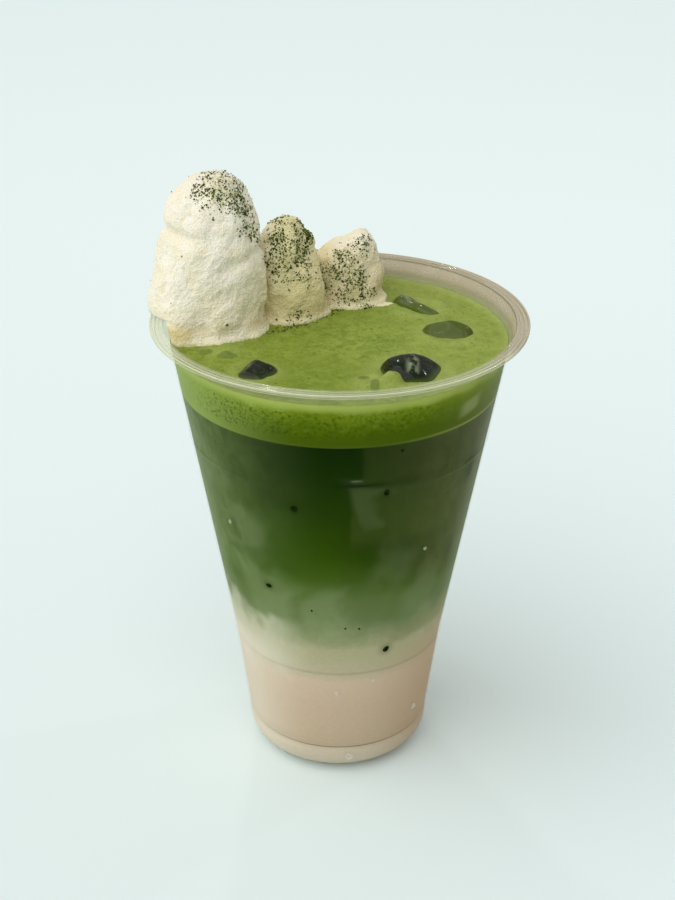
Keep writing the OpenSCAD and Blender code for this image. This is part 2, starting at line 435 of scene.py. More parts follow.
def clear_plastic():
    """Clear plastic: almost unseen face on, brighter at its edges, milky at the rim and collar, with painted
    highlight lines on the rim.
    """
    look = Look("clear_plastic")
    edge = look.edge(5.0)
    collar = look.rise(look.z, NECK_Z - 0.3, NECK_Z + 1.6)
    far = look.rise(look.plus(look.times(look.x, 0.9), look.y), 0, 24)
    radius = look.away((0, 0))
    rim = look.rise(radius, RIM_IN - 0.5, RIM_IN + 0.3)
    line = look.rise(look.math("SINE", look.times(radius, 2 * math.pi / RIM_LINE)), 0.1, 0.95)
    streaks = look.noise(9.0, detail=1, stretch=(1, 1, 0.05))
    low_collar = look.times(look.rise(look.z, FOAM_Z - 0.6, FOAM_Z + 0.4), far)
    # Fine bright lines over the rim's flange: painted highlights
    painted_highlight_lines = look.times(line, look.rise(radius, 46.0, 48.4, 0.24, 0.66))
    veil = look.plus(
        look.times(edge, 0.10),
        look.times(low_collar, look.rise(streaks, 0.3, 0.7, 0.30, 0.38)),
        look.times(low_collar, look.rise(look.z, FOAM_Z + 3.4, FOAM_Z + 1.4), 0.3),
        look.times(collar, 0.03),
        look.times(rim, look.plus(0.05, look.times(far, -0.06), painted_highlight_lines)),
    )
    gloss = look.plus(0.002, look.times(edge, 0.22), look.times(collar, 0.04), look.times(rim, 0.05))
    clear = look.add("ShaderNodeBsdfTransparent")
    through = look.mix(far, (0.94, 0.94, 0.87, 1), (0.84, 0.79, 0.70, 1))
    look.fill(clear, Color=look.mix(look.math("MAXIMUM", collar, rim), (1, 1, 1, 1), through))
    shine = look.add("ShaderNodeBsdfGlossy")
    wave = look.bump(look.noise(9.0, detail=1), 0.05, 0.5)
    look.fill(shine, Color=(1, 0.99, 0.95, 1), Roughness=0.07, Normal=wave)
    up = look.rise(look.z, FOAM_Z + 0.5, FOAM_Z + 3.5)
    tint = look.mix(up, shade(158, 164, 108), shade(190, 174, 146))
    tint = look.mix(rim, tint, look.mix(far, shade(232, 238, 206), shade(194, 184, 158)))
    body = look.surface(tint, 0.28, wave, Specular_IOR_Level=0.4)
    see_through = look.blend(gloss, clear.outputs[0], shine.outputs[0])
    return look.done(look.blend(veil, see_through, body))


def make_cup():
    points, faces = lathe(cup_profile(), CUP_COUNT)
    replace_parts(new_piece("clear_cup", points, faces, [clear_plastic()], "cup"), "cup")


# ---------------- the drink seen through the wall

# Colours down the front of the drink, as (height, red, green, blue)
DRINK_DOWN = [
    (112, 14, 34, 3),
    (103, 22, 43, 5),
    (92, 33, 54, 6),
    (80, 37, 58, 6),
    (75, 45, 68, 8),
    (69, 64, 86, 27),
    (63, 90, 110, 58),
    (55, 104, 121, 76),
    (49, 136, 146, 104),
    (47, 152, 157, 118),
    (45.3, 174, 170, 134),
    (38, 183, 176, 144),
    (36, 188, 177, 149),
    (33, 206, 185, 160),
    (24, 200, 177, 152),
    (9.7, 192, 172, 146),
    # The paler rows below the groove: painted light on the heel
    (9, 202, 188, 166),
    (0, 206, 194, 174),
]


def drink_colour(look):
    """Milk below, green above, with a cloudy border and paler ice behind the wall; a painted sheen of reflected
    light at the sides, painted light left and painted shade right of the border, painted reflections of window
    panes, a painted highlight streak, and painted shade lines at the upper ring, the knee ring and the groove.
    """
    cloud = look.noise(11, detail=4, rough=0.55, twist=0.6)
    wisps = look.noise(4.2, detail=5, rough=0.6, twist=1.2, stretch=(1, 1, 0.7))
    turned = look.math("ABSOLUTE", look.angle)
    over_border = look.math("MAXIMUM", look.plus(look.z, -49), 0)
    narrowed = look.times(look.rise(turned, 12, 50, 0, 0.5), over_border)
    lift = look.math("MINIMUM", narrowed, 7)
    swirl = look.plus(look.swing(cloud, 9), look.swing(wisps, 3))
    near_border = look.band(look.z, 44, 76, 9)
    height = look.plus(look.z, lift, look.times(swirl, look.plus(0.12, look.times(near_border, 0.88))))
    look.colour = look.ramp(height, DRINK_DOWN, 130)

    # Paler streaks at the left and right sides above the border: painted sheen of reflected light
    above = look.rise(look.z, 54, 70)
    streaky = look.times(above, look.rise(wisps, 0.25, 0.75, 0.75, 1.25))
    look.tint((156, 182, 108), look.side(-4, -72), streaky, 0.32)
    # A pale milky band at the left of the border: painted light. A duller band at its right: painted shade
    lobes = look.swing(look.noise(8, detail=2), 22)
    pale = look.times(look.side(-8, -44), look.band(look.plus(look.z, lobes), 34, 51.5, 5))
    look.tint((214, 212, 188), pale, 0.6)
    right_painted_shade = look.times(look.side(12, 32), look.band(look.plus(look.z, lobes), 44, 52, 2.5))
    look.tint((136, 134, 92), right_painted_shade, 0.4)
    look.tint((158, 160, 104), look.side(8, 66), streaky, 0.22)
    # Paler panes right of the middle: painted reflections of windows
    bent = look.plus(look.angle, look.swing(wisps, 3))
    for start, stop, heights, amount in PAINTED_PANE_REFLECTIONS:
        reflected_pane = look.times(look.rise(bent, start, stop), look.rise(look.angle, 70, 30))
        look.tint((156, 168, 92), reflected_pane, look.band(look.z, *heights), amount)
    look.tint((72, 112, 8), look.patch((-35, 2), 9, (64, 86), 7), 0.16)
    # Paler towards the left and right edges of the drink: painted sheen of reflected light
    painted_edge_sheen = look.times(look.rise(turned, 54, 78), look.rise(turned, *BACK_FADE), look.rise(look.z, 52, 60))
    look.tint((190, 196, 168), painted_edge_sheen, 0.14)
    sunk_ice_patches(look, wisps)
    # A dark line above the upper mould ring: painted shade. A bright streak just above it: painted highlight
    look.tint((14, 34, 6), look.patch((-3, 13), 5, (98.3, 99.3), 0.5), 0.8)
    look.tint((170, 184, 150), look.patch((4.2, 8), 1.2, (100.1, 100.4), 0.25), 0.3)
    for angle, z, wide, high, amount in SOFT_SPOTS:
        here = look.patch((angle - wide, angle + wide), wide, (z - high, z + high), high)
        look.tint((30, 46, 14), here, amount)
    # Dark lines at the knee ring and in the groove: painted shade
    look.tint((126, 112, 84), look.band(look.z, KNEE_Z - 0.1, KNEE_Z + 0.5, 0.5), 0.32)
    look.tint((112, 92, 68), look.band(look.z, GROOVE_Z - 0.14, GROOVE_Z + 0.14, 0.14), 0.85)
    fleck = look.times(look.rise(look.cells(2.6), 0.2, 0.06), look.rise(look.noise(7), 0.5, 0.66))
    look.tint((30, 44, 8), fleck, look.rise(look.z, 50, 60), 0.35)


# Painted reflections of window panes right of the middle, as (angle it starts at, angle it is full at, heights
# with softness, strength)
PAINTED_PANE_REFLECTIONS = [
    (3.6, 5.6, (80, 98, 3), 0.06),
    (6.5, 10.5, (99.5, 112, 1.5), 0.05),
]

# Soft dark places behind the wall, as (angle, height, half width in degrees, half height, strength)
SOFT_SPOTS = [
    (-16.9, 90.9, 2.0, 1.3, 0.5),
    (17.6, 95.9, 1.6, 1.5, 0.4),
    (-32.9, 63.5, 2.6, 1.3, 0.5),
    (25.1, 43.3, 3.0, 1.6, 0.45),
    (60.0, 94.0, 3.0, 4.0, 0.5),
    (57.0, 69.0, 3.5, 3.5, 0.4),
    (-20.0, 71.0, 5.0, 1.6, 0.15),
]

# Ice behind the wall, as (angles, heights, strength, softness of its edges in degrees)
SUNK_PATCHES = [
    ((-50, -32), (73, 85), 0.13, 6),
    ((-45, -22), (48, 67), 0.17, 7),
    ((-13, 2.4), (49, 66), 0.15, 5),
    ((6, 16), (86, 99), 0.055, 3),
    ((14, 31), (67, 78), 0.07, 4),
    ((-66, -50), (88, 101), 0.08, 6),
    ((34, 52), (52, 66), 0.12, 6),
]


def sunk_ice_patches(look, wisps):
    """Paler patches where melting ice lies against the wall."""
    bend = look.plus(look.swing(wisps, 8), look.swing(look.noise(9, detail=1), 26))
    angle = look.plus(look.angle, bend)
    height = look.plus(look.z, look.times(bend, -0.5))
    for angles, heights, strength, soft in SUNK_PATCHES:
        here = look.times(look.band(angle, *angles, soft), look.band(height, *heights, soft * 0.6))
        look.tint((176, 192, 148), here, strength)


def liquid_look(name):
    look = Look(name)
    drink_colour(look)
    grain = look.noise(0.9, detail=2)
    look.colour = look.mix(look.rise(grain, 0.3, 0.7, 0.0, 0.10), look.colour, shade(255, 255, 230), "SOFT_LIGHT")
    # The milk is lighter on the left: painted light. Darker and warmer on the right: painted shade
    milky = look.rise(look.z, 46, 38)
    look.tint((240, 230, 212), milky, look.side(-12, -66), 0.55)
    look.tint((186, 152, 112), milky, look.side(10, 70), 0.5)
    look.colour = look.mix(1.0, look.colour, (0.95, 0.95, 0.95, 1), "MULTIPLY")
    return look.painted(0.6, Specular_IOR_Level=0.0)


def fill_profile(low, high):
    """The drink between two levels, out to a little way into the wall. low 0 takes in the cup's floor."""
    steps = max(2, int((high - low) / 4))
    if low > 0:
        points = [(0, low)] + [(r, low) for r in (10, 20)]
        levels = [low, low + 0.05, *np.linspace(low + 1, high - 1, steps), high - 0.05, high]
        points += plain_wall(levels, FILL_GAP)
    else:
        floor = [(0, RECESS_H), (RECESS_R, RECESS_H), (RECESS_EDGE_R, RECESS_EDGE_H), (FOOT_R - FOOT_W, 0)]
        points = [(r, z + FILL_GAP) for r, z in floor] + heel_arc(FILL_GAP)
        points += [(GROOVE_R - FILL_GAP - 0.3, GROOVE_Z)]
        levels = [*np.linspace(GROOVE_Z + 0.6, high - 1, steps), high - 0.05, high]
        points += plain_wall(levels, FILL_GAP)
    return points + [(20, high), (10, high), (0, high)]


def make_liquids():
    points, faces = lathe(fill_profile(0, MILK_Z), DRINK_COUNT)
    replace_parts(new_piece("milk_layer", points, faces, [liquid_look("milk")], "milk"), "milk")
    points, faces = lathe(fill_profile(MILK_Z, DRINK_Z), DRINK_COUNT)
    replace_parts(new_piece("matcha_layer", points, faces, [liquid_look("matcha_drink")], "matcha"), "matcha")


# ---------------- ice

# Ice at the top of the drink, as (place, radius of the paler foam that clings round it)
ICE_HALOS = [
    ((18.0, -23.0), 11.0),
    ((-20.6, -23.6), 6.8),
    ((28.0, 1.6), 8.0),
    ((21.6, 19.4), 7.5),
    ((-29.5, -10.5), 4.4),
    ((7.5, -30.5), 5.0),
]


def ice_look():
    """Wet ice over the dark drink: almost black green, with paler veins, a few hard glints, and a painted pale
    reflection on the front piece.
    """
    look = Look("wet_ice")
    vein = look.rise(look.noise(2.6, detail=5, rough=0.65, twist=1.5), 0.52, 0.74)
    look.colour = look.mix(look.times(vein, 0.45), shade(17, 27, 9), shade(84, 98, 62))
    side = look.rise(look.plus(look.x, look.times(look.y, 0.8)), 8, 24)
    lit = look.mix(vein, shade(84, 99, 36), shade(112, 122, 66))
    look.colour = look.mix(look.times(side, 0.85), look.colour, lit)
    torn = look.noise(1.7, detail=4, stretch=(1, 0.5, 0.5))
    # A pale streak on the front piece: painted reflection
    painted_reflection = look.times(look.band(look.x, 16.6, 19.2, 1.0), look.band(look.z, FOAM_Z + 1.5, FOAM_Z + 4.5, 1))
    look.tint((150, 160, 132), look.rise(torn, 0.42, 0.6), painted_reflection, 0.75)
    foot = look.rise(look.z, FOAM_Z + 1.4, FOAM_Z + 0.1)
    look.tint((88, 106, 42), foot, 0.55)
    normal = look.bump(look.noise(3.6, detail=1), 0.16, 0.6)
    return look.painted(0.10, normal, Specular_IOR_Level=0.22)


def remeshed_copy(node, name, voxel, materials):
    """A finely meshed copy of a CAD node, which it stands for."""
    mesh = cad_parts[node].data.copy()
    piece = in_scene(name, mesh)
    modifier = piece.modifiers.new("even_faces", "REMESH")
    modifier.mode = "VOXEL"
    modifier.voxel_size = voxel * MM
    shaped = bpy.data.meshes.new_from_object(piece.evaluated_get(bpy.context.evaluated_depsgraph_get()))
    piece.modifiers.clear()
    piece.data = shaped
    shaped.materials.clear()
    for material in materials:
        shaped.materials.append(material)
    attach(piece, "root")
    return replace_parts(piece, node)


def points_of(piece):
    """A piece's points in millimetres, and its normals."""
    count = len(piece.data.vertices)
    points = np.zeros(count * 3)
    piece.data.vertices.foreach_get("co", points)
    normals = np.zeros(count * 3)
    piece.data.vertices.foreach_get("normal", normals)
    return points.reshape(-1, 3) / MM, normals.reshape(-1, 3)


def set_points(piece, points):
    piece.data.vertices.foreach_set("co", (points * MM).ravel())
    piece.data.polygons.foreach_set("use_smooth", [True] * len(piece.data.polygons))
    piece.data.update()


def relax(piece, rounds):
    """Rounds a mesh off by moving each point towards the middle of its neighbours."""
    points, _ = points_of(piece)
    ends = np.zeros(len(piece.data.edges) * 2, np.int32)
    piece.data.edges.foreach_get("vertices", ends)
    a, b = ends.reshape(-1, 2).T
    degree = np.bincount(ends, minlength=len(points))[:, None]
    for _ in range(rounds):
        total = np.zeros_like(points)
        np.add.at(total, a, points[b])
        np.add.at(total, b, points[a])
        points = points + 0.6 * (total / degree - points)
    set_points(piece, points)


# Middle and half sizes of the two ice pieces whose tops are reshaped
FRONT_ICE = (17.6, -23.4), (9.3, 7.5)
RIGHT_ICE = (28.4, 1.9), (7.6, 4.6)


def shares(points, middle, half_sizes):
    """Where points lie over a piece, from -1 to 1 along it and across it."""
    return ((points[:, :2] - middle) / half_sizes).T


def hump(points):
    """How far the large front piece is melted down away from its crown, which leaves one hump."""
    along, across = shares(points, *FRONT_ICE)
    return -4.4 * np.abs(along) ** 1.6 - 1.3 * across**2


def ridge(points):
    """How far the right piece rises along its middle, as a ridge."""
    along, across = shares(points, *RIGHT_ICE)
    return 2.3 * np.clip(1 - np.abs(along) ** 1.5, 0, 1) * np.clip(1 - np.abs(across), 0, 1)


def make_ice():
    material = ice_look()
    shapes = {"ice_front": hump, "ice_left": None, "ice_right": ridge, "ice_back": None}
    for k, (name, extra) in enumerate(shapes.items()):
        piece = remeshed_copy(name, "wet_" + name, ICE_VOXEL, [material])
        relax(piece, 14)
        points, normals = points_of(piece)
        dents = rough_noise(points, 6.0, 40 + 7 * k, octaves=2, fade=0.35)
        points = points + normals * (0.5 * dents + 0.2)[:, None]
        if extra:
            points[:, 2] += extra(points)
        set_points(piece, points)


# ---------------- foam


# Places where sunk ice shows darker through the foam, as (x, y, half width, half depth)
FOAM_PATCHES = [
    (-28.6, -14.0, 2.6, 1.8),
    (-34.0, -11.5, 2.0, 1.8),
    (8.6, -32.4, 1.2, 3.0),
    (6.0, -27.0, 1.6, 0.8),
]


# Lumps of foam over sunk ice, as (x, y, radius, height)
FOAM_LUMPS = [(-29.5, -10.5, 3.8, 0.9), (7.5, -30.5, 4.2, 0.9), (13.2, -29.4, 3.4, 2.3)]

# Colours up the side of the foam, as (share of its height, red, green, blue)
FOAM_UP = [
    (0.0, 66, 86, 8),
    (0.25, 72, 93, 8),
    (0.55, 86, 108, 12),
    (0.82, 112, 133, 26),
    (0.93, 150, 168, 74),
    (1.0, 166, 182, 92),
]


def foam_top_height(x, y):
    """Height of the foam's top: a rise at the wall, soft lumps, and a lip round each piece of ice."""
    flat = np.column_stack([x, y, np.zeros_like(x)])
    radius = np.hypot(x, y)
    edge = wall_radius(FOAM_Z) - WALL - radius
    height = FOAM_Z + 0.16 * rough_noise(flat, 7, 11) + 0.09 * rough_noise(flat, 1.7, 17, octaves=2)
    height += 0.75 * np.exp(-np.clip(edge, 0, None) / 0.8)
    for k, ((hx, hy), size) in enumerate(ICE_HALOS):
        away = np.hypot(x - hx, y - hy) + 1.2 * value_noise(flat, 3.4, 60 + k)
        height += 0.45 * np.exp(-(((away - size * 0.86) / 1.7) ** 2))
    for k, (hx, hy, size, rise) in enumerate(FOAM_LUMPS):
        away = np.hypot((x - hx), (y - hy) * 1.3) + 0.7 * value_noise(flat, 2.2, 70 + k)
        height += rise * smooth_step(away, size, size * 0.45)
    return height


def foam_top_look():
    """Fine green froth with darker freckles, paler round the ice and at the wall, and a painted sheen: paler
    towards the right and the back, deeper green at the front left.
    """
    look = Look("foam_top")
    broad = look.noise(16, detail=3)
    mottle = look.noise(3.0, detail=5, rough=0.65, twist=0.4)
    fine = look.noise(0.8, detail=3, rough=0.6)
    look.colour = look.mix(look.rise(mottle, 0.34, 0.68), shade(106, 128, 28), shade(143, 161, 66))
    look.tint((130, 148, 50), look.rise(broad, 0.35, 0.65, 0.0, 0.45))
    look.tint((162, 178, 90), look.rise(fine, 0.35, 0.7, 0.0, 0.35))
    # Paler towards the right and the back, deeper green at the front left: painted sheen
    look.tint((160, 178, 92), look.rise(look.x, 2, 36), 0.30)
    look.tint((152, 164, 92), look.rise(look.y, 8, 36), 0.30)
    look.tint((108, 128, 30), look.rise(look.away((-8, -24)), 22, 6), 0.4)
    freckle, thick = look.rise(look.cells(1.5), 0.34, 0.16), look.rise(look.noise(5, detail=2), 0.46, 0.62)
    look.tint((76, 98, 26), freckle, thick, 0.55)
    for place, size in ICE_HALOS:
        away = look.plus(look.away(place), look.swing(mottle, 7))
        halo = look.rise(away, size * 1.25, size * 0.85)
        look.tint((164, 178, 100), halo, 0.30)
    for x, y, wide, deep in FOAM_PATCHES:
        away = look.plus(look.away((x, y), (wide, deep)), look.swing(mottle, 0.9))
        look.tint((98, 116, 48), look.rise(away, 1.15, 0.8), 0.7)
    radius = look.away((0, 0))
    look.tint((172, 178, 116), look.rise(radius, 40.5, 43.6), 0.35)
    pits = look.cells(0.55)
    normal = look.bump(look.plus(look.times(fine, 0.7), look.times(pits, 0.5)), 0.22, 0.8)
    return look.painted(0.5, normal, Specular_IOR_Level=0.12)


def foam_side_look():
    """Foam pressed to the wall: bright at the top, deeper below, with fine dark bubbles, painted light on the
    left, a painted grey sheen of reflected light on the right and a painted pale reflection at the right.
    """
    look = Look("foam_side")
    down = look.times(look.plus(look.z, -DRINK_Z), 1 / (FOAM_Z - DRINK_Z))
    wander = look.swing(look.noise(6, detail=3), look.rise(down, 1.0, 0.8, 0.08, 0.3))
    look.colour = look.ramp(look.plus(down, wander), FOAM_UP, 1)
    # Paler on the left side: painted light. Greyer on the right side: painted sheen of reflected light
    look.tint((154, 176, 92), look.side(-12, -62), 0.72)
    look.tint((112, 120, 58), look.side(22, 66), 0.45)
    size = look.cells(1.15)
    bubbles = look.times(look.rise(size, 0.44, 0.16), look.rise(look.noise(4, detail=2), 0.26, 0.46))
    fine = look.times(look.rise(look.cells(0.7), 0.5, 0.2), 0.7)
    zone = look.times(look.band(down, 0.2, 0.84, 0.08), look.band(look.angle, -56, 38, 14))
    dark = look.times(zone, look.math("MAXIMUM", bubbles, fine))
    look.tint((40, 58, 2), dark, 0.6)
    pale = look.times(look.rise(look.noise(0.9, detail=3), 0.52, 0.72), look.rise(down, 0.2, 0.5), 0.2)
    look.tint((146, 165, 78), pale)
    bottom = look.band(look.z, DRINK_Z - 0.2, DRINK_Z + 0.7, 0.25)
    look.tint((150, 160, 84), bottom, look.side(10, 60, 0.05, 0.6))
    # A pale patch at the right: painted reflection
    slanted = look.plus(look.z, look.times(look.angle, -0.12))
    painted_reflection = look.times(look.band(look.angle, 45, 54, 2.5), look.band(slanted, 107.5, 111.5, 1.0))
    look.tint((196, 200, 150), painted_reflection, 0.25)
    return look.painted(0.6, look.bump(size, 0.08, 0.5), Specular_IOR_Level=0.0)


def make_foam():
    count = FOAM_COUNT
    angle = np.linspace(0, 2 * math.pi, count, endpoint=False)
    levels = [DRINK_Z, DRINK_Z + 0.05, *np.linspace(DRINK_Z + 1, FOAM_Z + 0.55, 8)]
    side = plain_wall(levels, FILL_GAP)
    points, faces = lathe([(0, DRINK_Z), (20, DRINK_Z)] + side, count)
    side_faces = len(faces)
    first = len(side) * count
    near = np.arange(count)
    far = (near + 1) % count
    radii = np.linspace(wall_radius(FOAM_Z) - FILL_GAP - 0.15, 0.5, FOAM_RINGS)
    rings = []
    for r in radii:
        x, y = r * np.sin(angle), -r * np.cos(angle)
        rings.append(np.column_stack([x, y, foam_top_height(x, y)]))
    start = len(points)
    points = np.vstack([points] + rings + [[0, 0, FOAM_Z]])
    faces += ring_faces(first, start, count)
    for k in range(len(radii) - 1):
        faces += ring_faces(start + k * count, start + (k + 1) * count, count)
    last = start + (len(radii) - 1) * count
    faces += np.column_stack([last + near, last + far, np.full(count, len(points) - 1)]).tolist()
    which = [0] * side_faces + [1] * (len(faces) - side_faces)
    looks = [foam_side_look(), foam_top_look()]
    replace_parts(new_piece("foam_layer", points, faces, looks, "foam", face_material=which), "foam")


# ---------------- whipped cream

# The yellow stain at the tall dollop's foot
STAIN_AT = (-41.2, -5.0, 124.2)

# Where matcha powder lies, as (centre, radius, strength)
DUST = [
    ((-28, 2, 162), 8.5, 1.0),
    ((-22.5, 2, 157), 6.0, 1.0),
    ((-20.0, 2, 151.5), 4.0, 0.7),
    ((-34.5, 0, 161.5), 4.5, 0.7),
    ((-12.5, 12, 147), 7.5, 1.0),
    ((-13.5, 9, 139.5), 6.6, 1.0),
    ((-7.5, 11, 136.5), 4.4, 0.7),
    ((2.0, 20, 134.5), 7.2, 0.9),
    ((4.5, 19.5, 126.0), 5.4, 1.0),
    ((6.5, 22.5, 138.5), 5.0, 0.6),
    ((-3.5, 19.5, 136.5), 3.5, 0.7),
    ((-12.0, 7.0, 122.6), 4.2, 0.8),
    ((-30, 3, 159), 5.0, 0.8),
    ((-15.5, 10, 144), 5.0, 1.0),
    ((-10.0, 11, 142), 6.0, 1.0),
    ((-2.5, 20, 131), 5.0, 0.9),
    ((4.5, 19, 130.5), 5.5, 1.0),
    ((6.0, 19, 122.5), 3.6, 0.9),
]


def dust_amount(points, normals):
    """How much powder lies at each point, from 0 to 1. It fell from above, so undersides have none."""
    amount = np.zeros(len(points))
    ragged = rough_noise(points, 3.0, 310, octaves=3)
    for centre, radius, strength in DUST:
        away = np.linalg.norm(points - np.array(centre), axis=1) + 1.6 * ragged
        amount = np.maximum(amount, strength * smooth_step(away, radius * 1.25, radius * 0.35))
    return amount * smooth_step(normals[:, 2], -0.75, 0.1)


def cream_look():
    """Ivory whipped cream with a fine torn grain, green where powder lies, stained yellow at one foot, and
    painted shade in its hollows, low on the middle and low dollops and in a band just above the foam.
    """
    look = Look("whipped_cream")
    dust = look.add("ShaderNodeAttribute", attribute_name="dust").outputs["Fac"]
    hollow_shade = look.add("ShaderNodeAttribute", attribute_name="hollow_shade").outputs["Fac"]
    grain = look.noise(1.1, detail=5, rough=0.6)
    cloud = look.noise(6, detail=3)
    look.colour = look.mix(look.rise(cloud, 0.35, 0.65), shade(253, 247, 231), shade(249, 241, 217))
    # Darker in the pushed-in hollows: painted shade
    look.tint((232, 218, 180), hollow_shade, 0.35)
    crumb = look.rise(look.noise(0.75, detail=4, rough=0.65), 0.5, 0.72)
    look.tint((216, 202, 164), crumb, 0.28)
    near_tall = look.rise(look.plus(look.x, look.times(look.y, 0.3)), -22, -8)
    look.tint((244, 232, 176), near_tall, look.rise(look.x, 0, -6), 0.7)
    # Darker and yellower low on the middle and low dollops: painted shade
    low_painted_shade = look.times(look.rise(look.z, 145, 127), look.rise(look.x, -31, -15))
    look.tint((226, 212, 158), low_painted_shade, 0.6)
    above_foam = look.plus(look.z, -FOAM_Z)
    shadowed = look.times(look.band(above_foam, 2.0, 5.0, 1.2), look.rise(cloud, 0.3, 0.6))
    look.tint((208, 192, 142), shadowed, 0.4)
    look.tint((252, 246, 208), look.rise(above_foam, 1.7, 0.9, 0.0, 0.6))
    powdered = look.rise(look.plus(dust, look.swing(look.noise(0.8, detail=3), 2.0)), 0.5, 1.2)
    look.tint((172, 174, 104), powdered, 0.4)
    stain = look.rise(look.plus(look.away(STAIN_AT), look.swing(cloud, 5)), 5.5, 0.5)
    look.tint((240, 212, 124), stain, 0.7)
    relief = look.plus(grain, look.times(look.cells(0.6), 0.5))
    normal = look.bump(relief, 0.45, 1.0)
    return look.painted(
        0.65, normal, Specular_IOR_Level=0.15,
        Subsurface_Weight=0.15, Subsurface_Radius=(1.6, 1.2, 0.8), Subsurface_Scale=MM)


def crease(along, at, width):
    """1 on a line where along equals at, fading out to each side."""
    return np.exp(-(((along - at) / width) ** 2))


def shape_tall(points):
    """The tall dollop: a notch under its domed head, and a side that widens down to the rim."""
    x, y, z = points.T
    left = smooth_step(x, -30, -42)
    notch = crease(z + 0.12 * (x + 40), 149.0, 1.5) * left
    wide = smooth_step(z, 146, 129) * smooth_step(x, -34, -44)
    seam = crease(x + 0.15 * (z - 140), -20.5, 1.3) * smooth_step(y, 8, 2)
    fold = crease(z - 0.35 * (x + 33), 139.5, 1.6) * smooth_step(x, -34, -26)
    return -1.9 * notch + 2.6 * wide - seam - fold, np.zeros_like(points)


def shape_middle(points):
    """The middle dollop: a narrow round cap above a wider body."""
    x, _, z = points.T
    cap = smooth_step(z, 133, 140) * smooth_step(x, -14, -8)
    fold = crease(z - 0.2 * (x + 14), 138.5, 1.3)
    shift = np.zeros_like(points)
    shift[:, 0] = 0.7 * smooth_step(z, 134, 141)
    return -2.4 * cap - 0.5 * fold, shift


def shape_low(points):
    """The low dollop: a peak that leans right and a lobe at its right foot."""
    x, _, z = points.T
    lobe = crease(z, 128, 2.4) * smooth_step(x, 4, 11)
    waist = crease(z, 132, 1.3) * smooth_step(x, 4, 10)
    lean = np.zeros_like(points)
    lean[:, 0] = 2.2 * smooth_step(z, 129, 140)
    lean[:, 2] = smooth_step(z, 134, 140) * (0.9 * smooth_step(x, 0, 5) - 0.9 * smooth_step(x, 2, -3))
    lean[:, 2] += 1.3 * smooth_step(x, 0, -6) * smooth_step(z, 126, 132)
    narrow = smooth_step(z, 130, 136) * smooth_step(x, 3, 9)
    return 0.7 * lobe - 0.5 * waist - 1.9 * narrow, lean


def whip(piece, seed, shape):
    """Gives a plain dollop its torn, lumpy surface and a thin skirt where it meets the foam."""
    points, normals = points_of(piece)
    pushed, moved_whole = shape(points)
    lumps = 0.6 * rough_noise(points, 6.5, seed, octaves=2) + pushed
    folded = np.abs(rough_noise(points * np.array([1, 1, 0.8]), 2.7, seed + 20, octaves=3))
    tears = 0.32 * (0.42 - folded)
    fine = 0.18 * rough_noise(points, 1.1, seed + 40, octaves=2)
    up = points[:, 2] - FOAM_Z
    skirt = 2.3 * np.exp(-np.clip(up, 0, None) / 1.0) * (0.8 + 0.5 * value_noise(points, 3.5, seed + 60))
    moved = points + normals * (lumps + tears + fine)[:, None] + moved_whole
    moved += normals * np.array([1, 1, 0]) * skirt[:, None]
    low = up < 0.6
    moved[low, 2] = np.minimum(moved[low, 2], FOAM_Z + 1.2) - 0.9 * smooth_step(up[low], 0.6, 0.1)
    reach = np.hypot(moved[:, 0], moved[:, 1])
    inside_wall = np.interp(moved[:, 2], [110, NECK_Z, CUP_TOP], [41.4, NECK_R - 0.7, RIM_IN - 0.9])
    limit = np.where(moved[:, 2] < CUP_TOP + 0.35, inside_wall, RIM_OUT + 0.9)
    pull = np.minimum(1, limit / np.maximum(reach, 1e-6))
    moved[:, :2] *= pull[:, None]
    set_points(piece, moved)
    points, normals = points_of(piece)
    for name, values in (
        ("dust", dust_amount(points, normals)),
        # Where the surface is pushed in, for painted shade in the cream's look
        ("hollow_shade", smooth_step(-(tears + fine), 0.0, 0.3)),
    ):
        layer = piece.data.attributes.new(name, "FLOAT", "POINT")
        layer.data.foreach_set("value", values.astype(np.float32))


def make_cream():
    material = cream_look()
    shapes = {"cream_tall": shape_tall, "cream_middle": shape_middle, "cream_low": shape_low}
    made = []
    for k, (name, shape) in enumerate(shapes.items()):
        piece = remeshed_copy(name, "whipped_" + name, CREAM_VOXEL, [material])
        relax(piece, 3)
        whip(piece, 210 + 20 * k, shape)
        made.append(piece)
    return made


TONGUE_COLUMNS, TONGUE_ROWS = 60, 22
TONGUE_AT, TONGUE_LENGTH = (3.0, 23.4), 12.6


def make_tongue():
    """A thin smear of cream that runs from the low dollop's foot over the foam to the right."""
    u, v = np.meshgrid(np.linspace(0, 1, TONGUE_COLUMNS), np.linspace(-1, 1, TONGUE_ROWS))
    u, v = u.ravel(), v.ravel()
    flat = np.column_stack([u * 14, v * 4, np.zeros_like(u)])
    half = (3.4 * (1 - u) ** 0.6 + 0.25) * (1 + 0.35 * value_noise(flat, 2.2, 401))
    x = TONGUE_AT[0] + TONGUE_LENGTH * u
    y = TONGUE_AT[1] - 1.5 * u + v * half + 0.5 * value_noise(flat, 3.1, 402)
    dome = np.clip(1 - v * v, 0, 1) ** 0.6
    z = FOAM_Z - 0.25 + dome * (1.2 - 0.75 * u) * (1 + 0.35 * value_noise(flat, 1.7, 403))
    faces = grid_faces(TONGUE_ROWS, TONGUE_COLUMNS)
    new_piece("cream_tongue", np.column_stack([x, y, z]), faces, [bpy.data.materials["whipped_cream"]], "cream")


# ---------------- matcha powder


def powder_look():
    look = Look("matcha_powder")
    uneven = look.rise(look.noise(1.2, detail=2), 0.35, 0.65)
    look.colour = look.mix(uneven, shade(48, 66, 18), shade(92, 112, 38))
    return look.painted(0.85, look.bump(look.noise(0.2), 0.05), Specular_IOR_Level=0.1)


